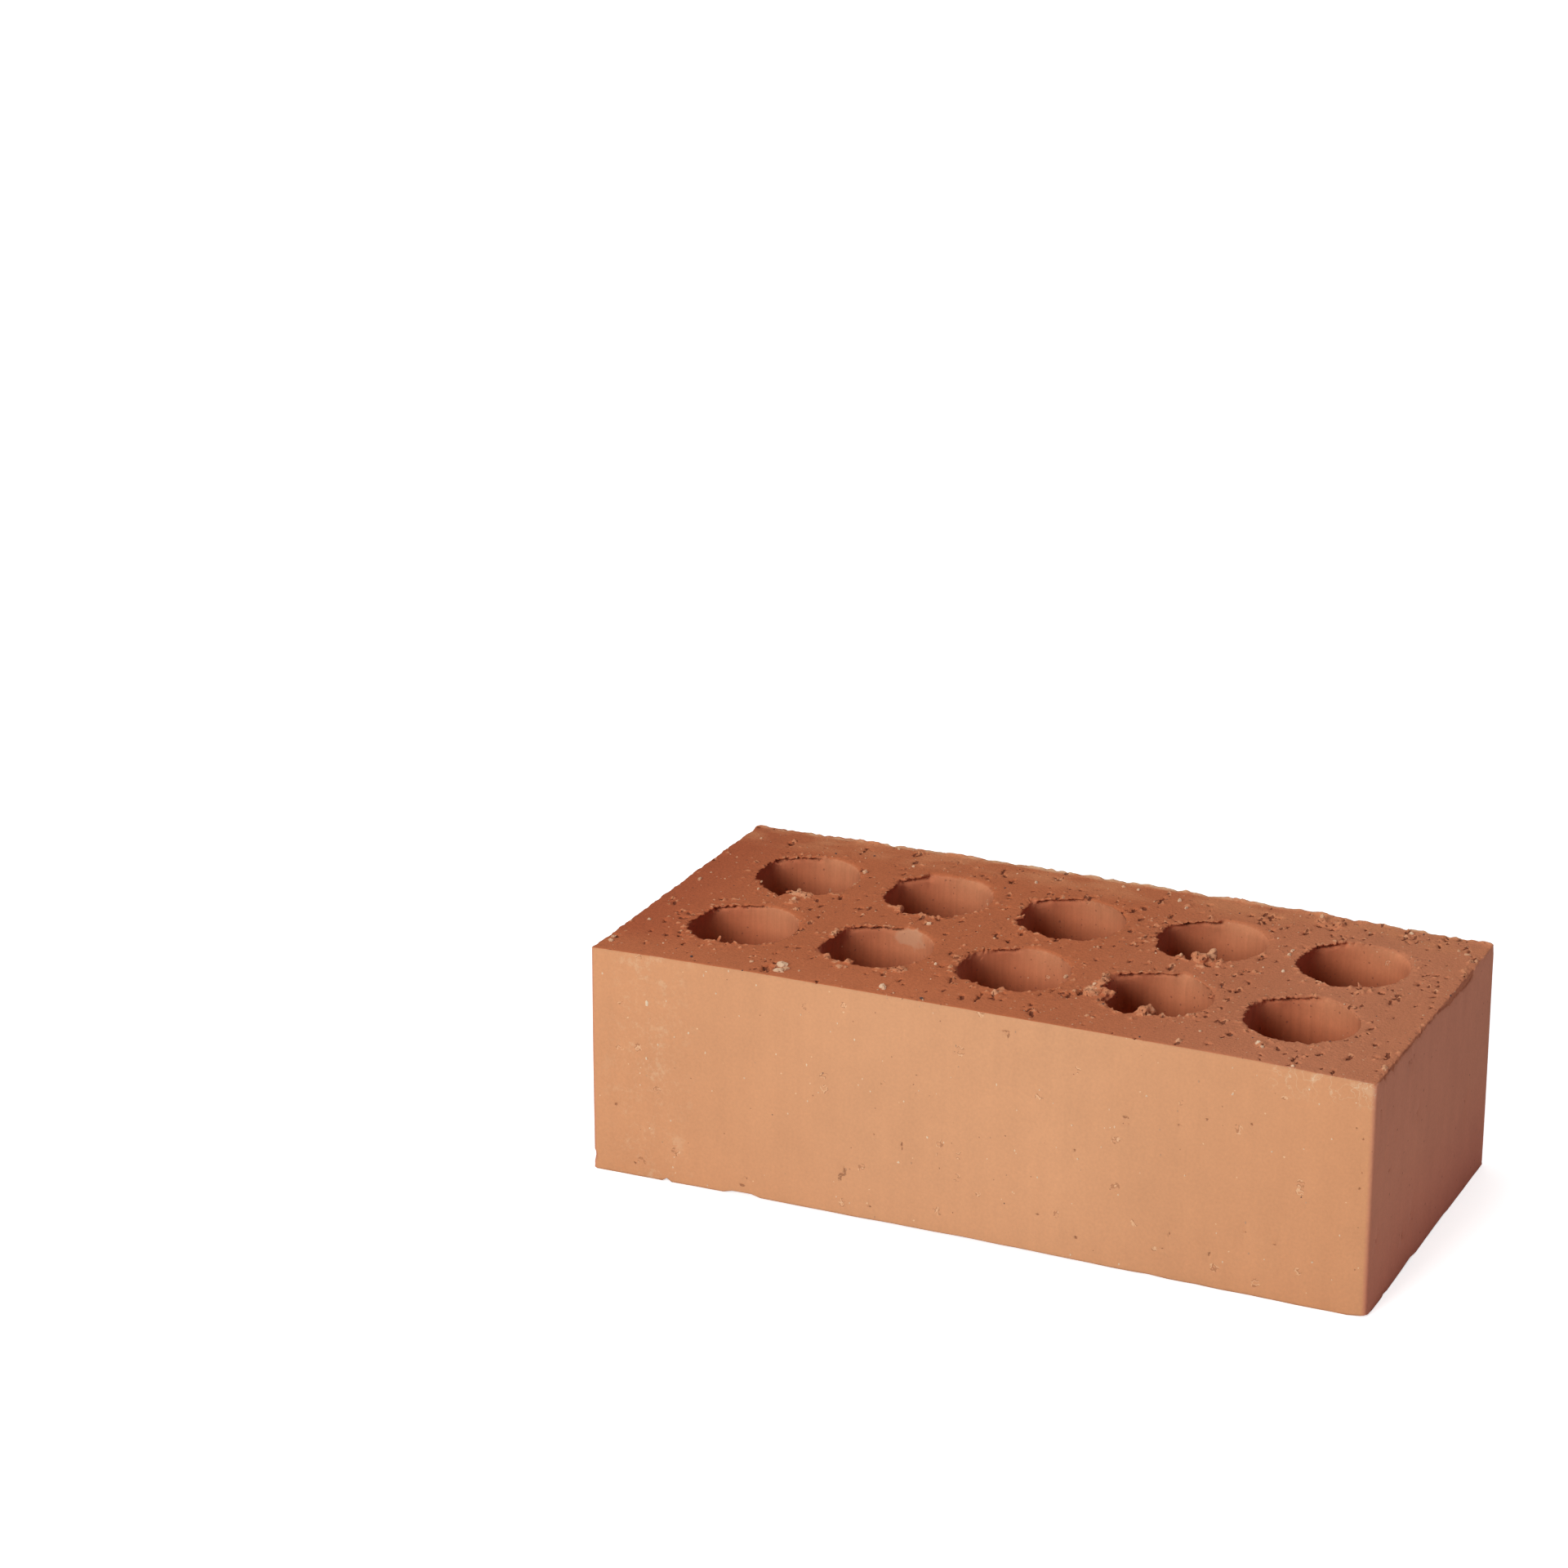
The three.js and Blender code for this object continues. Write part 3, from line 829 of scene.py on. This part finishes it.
# Where a grain of the clay tore out, its edge is ragged at a finer size than the mesh, and the pits, cracks
# and tears are painted dark as shade.
pit_shade = ramp(plus(torn_shade_mask, ramp(fray, 0.2, 0.8, -0.35, 0.35)), 0.40, 0.58)
lump = ramp(plus(is_raised, ramp(fray, 0.2, 0.8, 0.3, -0.3)), 0.35, 0.65)

# The beds are painted darker and redder than the skin, partly as painted shade of the rough bed in grazing
# light, and darker still towards the left.
cut_clay_with_shade = blend(ramp(axes[0], -0.116, -0.086), SHADED_CUT_LEFT, SHADED_CUT_MIDDLE)
cut_clay_with_shade = blend(ramp(axes[0], 0.012, 0.090), cut_clay_with_shade, SHADED_CUT_RIGHT)
pale_front = times(ramp(axes[1], -0.038, -0.050), ramp(axes[0], 0.055, -0.010))
cut_clay_with_shade = blend(times(pale_front, 0.85), cut_clay_with_shade, SHADED_CUT_FRONT)
blotches = ramp(speckle((16, 8, 8), 18, 3), 0.42, 0.58, 0.10, 0.75)
pale_back = times(ramp(axes[1], 0.040, 0.050), blotches)
cut_clay_with_shade = blend(pale_back, cut_clay_with_shade, SHADED_CUT_BACK)
from_middle = math_node("ABSOLUTE", axes[0])
skin = blend(ramp(from_middle, 0.030, 0.110), SKIN, SKIN_BY_END)
# Both ends are painted pinker than the long faces and darker towards the bottom: painted shade of the right
# end, which faces away from the key lamp.
end_skin_shade = blend(ramp(axes[2], 0.006, 0.034), END_SKIN_LOW_SHADE, END_SKIN_SHADE)
skin = blend(ramp(from_middle, 0.1185, 0.1198), skin, end_skin_shade)
# The core walls are painted darker and redder away from a band just right of each core's middle, and towards
# half depth: painted shade inside the cores.
across_core = math_node("WRAP", axes[0], 0.02175, -0.02175)
to_shaded_side = ramp(away_from(across_core, 0.005), 0.003, 0.014)
wall = blend(to_shaded_side, CORE_MOUTH, CORE_SIDE_SHADE)
wall = blend(ramp(away_from(axes[2], 0.0355), 0.018, 0.034), CORE_DEEP_SHADE, wall)
colour = blend(ramp(cut, 0.45, 0.60), skin, cut_clay_with_shade)
colour = blend(in_core, colour, wall)
lines = add("Mix", {"data_type": "FLOAT"}, _0=cut, _2=upright, _3=dragged)[0]
value = plus(ramp(cloud, 0.3, 0.7, -0.03, 0.03), ramp(mottle, 0.3, 0.7, -0.02, 0.02))
strength = ramp(cut, 0, 1, 1.0, 1.7)
value = plus(value, times(strength, ramp(grain, 0.25, 0.75, -0.05, 0.05)))
value = plus(value, times(strength, ramp(lines, 0.3, 0.7, -0.016, 0.016)))
streaks = ramp(speckle((1.3, 1.3, 40), 8, 4, 0.6), 0.3, 0.7, -0.07, 0.07)
value = plus(value, times(in_core, streaks))
value = plus(value, 1.0)
colour = add("HueSaturation", Color=colour, Value=value, Hue=0.5, Saturation=1.0, Fac=1.0)[0]

# Pale bloom of salts on the long faces, near their left end and in fine lines at the top right.
salts = ramp(speckle((5, 5, 5), 9, 6, 0.75), 0.55, 0.63)
on_stretcher = ramp(math_node("ABSOLUTE", axes[1]), 0.0565, 0.0570)
near_left = times(ramp(math_node("ABSOLUTE", plus(axes[0], 0.101)), 0.017, 0.006), on_stretcher)
hair = ramp(away_from(speckle((4, 4, 4), 16, 2), 0.5), 0.014, 0.005)
near_top_right = times(ramp(axes[0], 0.086, 0.094), ramp(axes[2], 0.0610, 0.0670))
near_top_right = times(near_top_right, on_stretcher)
bloom = times(near_left, plus(times(salts, 0.22), times(hair, 0.09)))
scribble = times(near_top_right, plus(times(salts, 0.22), times(hair, 0.42)))
colour = blend(math_node("ADD", bloom, scribble, clamp=True), colour, (0.74, 0.57, 0.38, 1))

# A pale stain sits inside one mouth, just under its far rim.
stain = add("VectorMath", {"operation": "SUBTRACT"}, _0=place, _1=(-0.0400, -0.0070, 0.0685))[0]
stain = add("VectorMath", {"operation": "MULTIPLY"}, _0=stain, _1=(200, 200, 330))[0]
stain = add("VectorMath", {"operation": "LENGTH"}, _0=stain)["Value"]
stain = plus(stain, ramp(speckle((4, 4, 4), 10, 3), 0.3, 0.7, -0.45, 0.45))
stain = times(ramp(stain, 1.2, 0.75), in_core)
colour = blend(times(stain, 0.36), colour, (0.66, 0.41, 0.26, 1))

# Here and there a grain scratched the skin: a fine tear painted dark as its shade, with a pale painted
# highlight beside it.
scratched = times(grains(6.0, 1.3, 0.15, 19), ramp(cut, 0.5, 0.3))
fibre = speckle((1.7, 1.7, 1.7), 20, 1)
tear = ramp(away_from(fibre, 0.50), 0.045, 0.020)
tear_highlight = ramp(away_from(fibre, 0.59), 0.040, 0.018)
colour = blend(times(times(scratched, tear), 0.55), colour, (0.33, 0.13, 0.065, 1))
colour = blend(times(times(scratched, tear_highlight), 0.45), colour, LIME)

# Crumbs, some of them paler as a painted highlight, the pale crest of the burr along the back as a painted
# highlight, specks of lime and iron, and painted shade in the pits.
crumb_clay_and_highlight = blend(ramp(patch, 0.54, 0.64), CRUMB, PALE_CRUMB_HIGHLIGHT)
colour = blend(times(lump, 0.66), colour, crumb_clay_and_highlight)
# The pale crest along the back burr is a painted highlight.
crest_highlight = times(ramp(axes[1], 0.0553, 0.0566), ramp(speckle((14, 4, 4), 17, 4, 0.7), 0.44, 0.54))
crest_highlight = times(crest_highlight, ramp(axes[2], 0.0688, 0.0700))
colour = blend(times(crest_highlight, 0.55), colour, (0.72, 0.52, 0.32, 1))
lime = math_node("MAXIMUM", grains(4.6, 0.30, 0.40, 11), times(cut, grains(1.7, 0.26, 0.22, 12)))
not_skin = math_node("MAXIMUM", cut, in_core)
iron = math_node("MAXIMUM", grains(4.0, 0.30, 0.32, 13), times(not_skin, grains(1.5, 0.28, 0.24, 14)))
colour = blend(times(lime, ramp(cut, 0, 1, 0.62, 0.42)), colour, LIME)
colour = blend(times(iron, 0.55), colour, IRON)
colour = blend(times(pit_shade, ramp(cut, 0, 1, 0.50, 0.85)), colour, PIT_SHADE)

rough = add("Mix", {"data_type": "FLOAT"}, _0=cut, _2=0.03, _3=0.19)[0]
height = plus(ramp(grain, 0.2, 0.8), ramp(lines, 0.2, 0.8, 0, 0.5))
height = plus(height, math_node("SUBTRACT", times(lime, 0.8), iron))
height = times(height, rough)
height = math_node("SUBTRACT", height, times(pit_shade, 0.15))
bump = add("Bump", Height=height, Distance=MM, Strength=1.0)["Normal"]
feed(clay.node_tree, clay.node_tree.nodes["Principled BSDF"], {
    "Base Color": colour, "Roughness": 0.9, "Specular IOR Level": 0.25, "Normal": bump})

brick.data.materials.clear()
brick.data.materials.append(clay)
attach(brick, "root")
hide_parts("brick_body")

# ----------------------------------------
# Grit. Grains of chalk, burnt stone and slag came with the clay. The wires laid some of them
# bare in the beds, and a few show in the front. Each is a small angular lump, mostly buried.
# ----------------------------------------
# Grains in the top bed: x, y, half sizes along x, y and up, and tone from pale 0 to dark 1.
BED_GRAINS = (
    (-62.0, -48.8, 1.9, 1.4, 1.0, 0.16), (-61.0, -53.2, 1.7, 1.3, 0.8, 0.20),
    (-59.6, -51.0, 0.9, 1.3, 0.7, 0.36), (-71.2, -50, 0.7, 0.6, 0.6, 0.3), (-89, -53, 0.6, 0.5, 0.4, 0.9),
    (-28.8, -52, 1.0, 0.9, 1.0, 0.12), (-28.0, -53.0, 0.7, 0.7, 0.8, 0.2),
    (-15.2, -55.4, 0.7, 0.5, 0.6, 1.0), (-81, 1, 0.8, 0.8, 0.8, 0.3), (-36.2, -0.6, 0.7, 0.7, 0.8, 0.15),
    (-20.2, 45, 0.6, 0.7, 0.7, 0.1), (-71, 31, 0.7, 0.8, 0.6, 0.25), (-59.5, 42, 0.5, 0.6, 0.5, 0.2),
    (-115, 6, 0.6, 0.9, 0.6, 0.35), (-114, -30.5, 0.6, 0.6, 0.5, 0.2), (-95, 5.5, 0.5, 0.7, 0.5, 0.3),
    (-97, 12, 0.4, 0.6, 0.4, 0.3), (-21.8, -29.5, 0.6, 0.7, 0.6, 0.1), (24.5, 49, 0.6, 0.8, 0.7, 0.1),
    (28.5, 44, 0.5, 0.8, 0.6, 0.15), (68.6, 51.6, 0.8, 0.7, 0.9, 0.3), (68.6, 21, 0.6, 1.2, 0.6, 0.15),
    (68.4, 24.6, 0.5, 1.0, 0.5, 0.2), (71, 8, 0.6, 0.6, 0.6, 0.05), (50.5, -3, 0.5, 0.7, 0.5, 0.3),
    (15.5, -21.5, 0.5, 0.8, 0.5, 0.3), (82.2, -46, 0.9, 0.8, 0.7, 0.05),
    (83.8, -47.6, 0.6, 0.6, 0.5, 0.15), (95.5, -56, 0.6, 0.5, 0.5, 0.1),
    (26.2, -26.5, 0.7, 0.7, 0.8, 0.2), (27.6, -29, 0.5, 0.6, 0.7, 0.25), (40.2, 7, 0.6, 0.5, 0.6, 0.35),
    (115, 45, 0.9, 0.5, 0.4, 0.35), (112, 46.5, 0.7, 0.4, 0.4, 0.35), (95.5, 53.5, 0.8, 0.5, 0.6, 0.1),
    (-116.5, -50.5, 0.9, 0.8, 0.6, 0.2), (-117.5, -47, 0.5, 0.8, 0.5, 0.25),
    (10, 52.5, 0.6, 0.6, 0.5, 0.2), (5, 53, 0.7, 0.5, 0.5, 0.25), (-113.5, 47, 0.5, 0.6, 0.4, 0.3),
    (-70, 55, 0.5, 0.6, 0.5, 0.2), (64.5, -44.5, 0.5, 0.6, 0.5, 0.2),
)
# Grains in the front: x, height, half sizes along x, out and up, and tone.
FRONT_GRAINS = (
    (-88, 49, 0.3, 0.2, 0.35, 0.05), (-70, 38, 0.3, 0.2, 0.3, 0.1), (-52, 61, 0.25, 0.2, 0.3, 0.1),
    (-30, 41, 0.3, 0.2, 0.35, 0.05), (-5, 50, 0.25, 0.2, 0.3, 0.1), (22, 24, 0.3, 0.2, 0.35, 0.05),
    (66, 33, 0.3, 0.2, 0.35, 0.1), (79, 60, 0.3, 0.2, 0.3, 0.1), (91, 45, 0.3, 0.2, 0.3, 0.1),
    (104, 14, 0.35, 0.2, 0.3, 0.05), (108, 52, 0.3, 0.2, 0.3, 0.1), (-94, 20, 0.3, 0.2, 0.35, 0.05),
    (-101.5, 56, 0.45, 0.25, 1.0, 0.0), (-101.8, 38.5, 0.4, 0.2, 0.5, 0.05),
    (-98, 43.5, 0.35, 0.2, 0.45, 0.05), (-79, 63, 0.35, 0.2, 0.3, 0.05), (-21, 20.5, 0.45, 0.2, 0.4, 0.0),
    (-12, 30, 0.4, 0.2, 0.45, 0.0), (32, 42, 0.3, 0.2, 0.3, 0.1), (41, 37, 0.3, 0.2, 0.3, 0.15),
    (34, 32, 0.3, 0.2, 0.3, 0.1), (54, 55, 0.35, 0.2, 0.3, 0.05), (-116, 63, 0.35, 0.2, 0.4, 0.05),
    (-61, 28, 0.25, 0.2, 0.25, 0.7), (12, 14, 0.25, 0.2, 0.25, 0.8), (100, 33, 0.25, 0.2, 0.25, 0.8),
    (-45, 44, 0.25, 0.2, 0.3, 0.7),
)
LARGE_GRAIN = 0.7
LOOSE_IN_BED = 200
LOOSE_IN_FRONT = 90
grit_bm = bmesh.new()
tone_layer = grit_bm.verts.layers.float.new("tone")


def add_grain(place, half_sizes, tone):
    """One angular grain. Its corners are shifted at random, so no two are alike."""
    turn = Matrix.Rotation(random.uniform(-0.5, 0.5), 4, "Z")
    shape = Matrix.Translation(place) @ turn @ Matrix.Diagonal((*half_sizes, 1))
    steps = 2 if max(half_sizes) > LARGE_GRAIN else 1
    made = bmesh.ops.create_icosphere(grit_bm, subdivisions=steps, radius=1, matrix=shape)
    for vertex in made["verts"]:
        vertex.co += Vector(random.uniform(-0.22, 0.22, 3) * half_sizes)
        vertex[tone_layer] = tone


bed_points = placed[top > 0.6]
for x, y, half_x, half_y, half_up, tone in BED_GRAINS:
    nearest = bed_points[np.argmin(np.hypot(bed_points[:, 0] - x, bed_points[:, 1] - y))]
    add_grain((x, y, nearest[2] + 0.1 * half_up), (half_x, half_y, half_up), tone)
for _ in range(LOOSE_IN_BED):
    x, y, z = bed_points[random.integers(len(bed_points))]
    size = 0.16 + 0.24 * random.uniform() ** 2
    tone = random.choice((0.12, 0.35, 0.45, 0.95), p=(0.08, 0.46, 0.32, 0.14))
    add_grain((x, y, z), (size, size * 1.2, size), tone)
front_points = placed[rest[:, 1] < 0.2 - HALF_WIDTH]
for x, z, half_x, half_out, half_up, tone in FRONT_GRAINS:
    nearest = front_points[np.argmin(np.hypot(front_points[:, 0] - x, front_points[:, 2] - z))]
    add_grain((x, nearest[1], z), (half_x, half_out, half_up), tone)
for _ in range(LOOSE_IN_FRONT):
    x, y, z = front_points[random.integers(len(front_points))]
    size = random.uniform(0.16, 0.30)
    half_up = size * random.uniform(0.8, 1.8)
    tone = random.choice((0.0, 0.1, 0.45), p=(0.5, 0.3, 0.2))
    add_grain((x, y, z), (size, 0.5 * size, half_up), tone)
bmesh.ops.scale(grit_bm, vec=(MM,) * 3, verts=grit_bm.verts)
grit = as_object("grit", grit_bm)

stone = bpy.data.materials.new("grit_stone")
stone.use_nodes = True
stone_tree = stone.node_tree
own_tone = add_to(stone_tree, "Attribute", {"attribute_name": "tone"})["Fac"]
stone_place = add_to(stone_tree, "TexCoord")["Object"]
stone_mottle = add_to(stone_tree, "TexNoise", Vector=stone_place, Scale=900)["Fac"]
stone_tone = math_node("MULTIPLY_ADD", stone_mottle, 0.3, own_tone, tree=stone_tree)
stone_colour = add_to(stone_tree, "ValToRGB", Fac=stone_tone)["Color"]
tones = stone_colour.node.color_ramp.elements
tones[0].position = 0.1
tones[0].color = (0.76, 0.60, 0.42, 1)
tones[1].position = 1.0
tones[1].color = (0.09, 0.06, 0.055, 1)
middle_tone = tones.new(0.45)
middle_tone.color = (0.66, 0.37, 0.21, 1)
feed(stone_tree, stone_tree.nodes["Principled BSDF"], {
    "Base Color": stone_colour, "Roughness": 0.85, "Specular IOR Level": 0.3})
grit.data.materials.append(stone)
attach(grit, "root")

# ----------------------------------------
# White paper floor that stays white to the camera but keeps the shadow, a large soft lamp in
# front on the left, one overhead, and a weak low one on the right.
# ----------------------------------------
floor_bm = bmesh.new()
bmesh.ops.create_grid(floor_bm, x_segments=1, y_segments=1, size=6)
floor = as_object("floor", floor_bm)

PAPER = 0.85
GLOW_NEAR = 0.65
GLOW_FAR = 1.0
paper = bpy.data.materials.new("white_paper")
paper.use_nodes = True
paper_tree = paper.node_tree
paper_place = add_to(paper_tree, "TexCoord")["Object"]
distance = add_to(paper_tree, "VectorMath", {"operation": "LENGTH"}, _0=paper_place)["Value"]
glow = add_to(paper_tree, "MapRange", {"interpolation_type": "SMOOTHSTEP"}, Value=distance, **{
    "From Min": 0.25, "From Max": 0.9, "To Min": GLOW_NEAR, "To Max": GLOW_FAR})["Result"]
seen = add_to(paper_tree, "LightPath")["Is Camera Ray"]
glow = math_node("MULTIPLY", seen, glow, tree=paper_tree)

# Under the brick, where only its cores show the floor, it doesn't glow.
paper_axes = add_to(paper_tree, "SeparateXYZ", _0=paper_place)
outside = []
for axis, reach_under in (("X", 0.112), ("Y", 0.050)):
    off_middle = math_node("ABSOLUTE", paper_axes[axis], tree=paper_tree)
    outside.append(math_node("GREATER_THAN", off_middle, reach_under, tree=paper_tree))
open_floor = math_node("MAXIMUM", *outside, tree=paper_tree)
glow = math_node("MULTIPLY", glow, open_floor, tree=paper_tree)
feed(paper_tree, paper_tree.nodes["Principled BSDF"], {
    "Base Color": (PAPER, PAPER, PAPER, 1), "Roughness": 0.9, "Specular IOR Level": 0.0,
    "Emission Color": (1, 1, 1, 1), "Emission Strength": glow})
floor.data.materials.append(paper)

# The room is white to the camera and gives the brick almost no light.
ROOM_LIGHT = 0.02
world = bpy.data.worlds.new("room")
scene.world = world
world.use_nodes = True
room_tree = world.node_tree
in_view = add_to(room_tree, "LightPath")["Is Camera Ray"]
brightness = add_to(room_tree, "Mix", {"data_type": "FLOAT"}, _0=in_view, _2=ROOM_LIGHT, _3=1.0)[0]
feed(room_tree, room_tree.nodes["Background"], {"Color": (1, 1, 1, 1), "Strength": brightness})

LAMP_DISTANCE = 2.2
BRICK_MIDDLE = Vector((0, 0, 0.035))


def soft_lamp(name, side_angle, height_angle, size, power, colour=(1, 1, 1)):
    """A square lamp that faces the brick, at those angles to the right of the long face and up."""
    turn = math.radians(side_angle)
    rise = math.radians(height_angle)
    away = Vector((math.sin(turn) * math.cos(rise), -math.cos(turn) * math.cos(rise), math.sin(rise)))
    data = bpy.data.lights.new(name, "AREA")
    data.shape = "SQUARE"
    data.size = size
    data.energy = power
    data.color = colour
    lamp = bpy.data.objects.new(name, data)
    lamp.location = away * LAMP_DISTANCE + BRICK_MIDDLE
    lamp.rotation_euler = away.to_track_quat("Z", "Y").to_euler()
    scene.collection.objects.link(lamp)


soft_lamp("key_lamp", -14, 25, 0.9, 38.5)
soft_lamp("overhead_lamp", 180, 75, 1.5, 24)
soft_lamp("fill_lamp", 95, 5, 1.2, 6.8, (1, 0.62, 0.84))
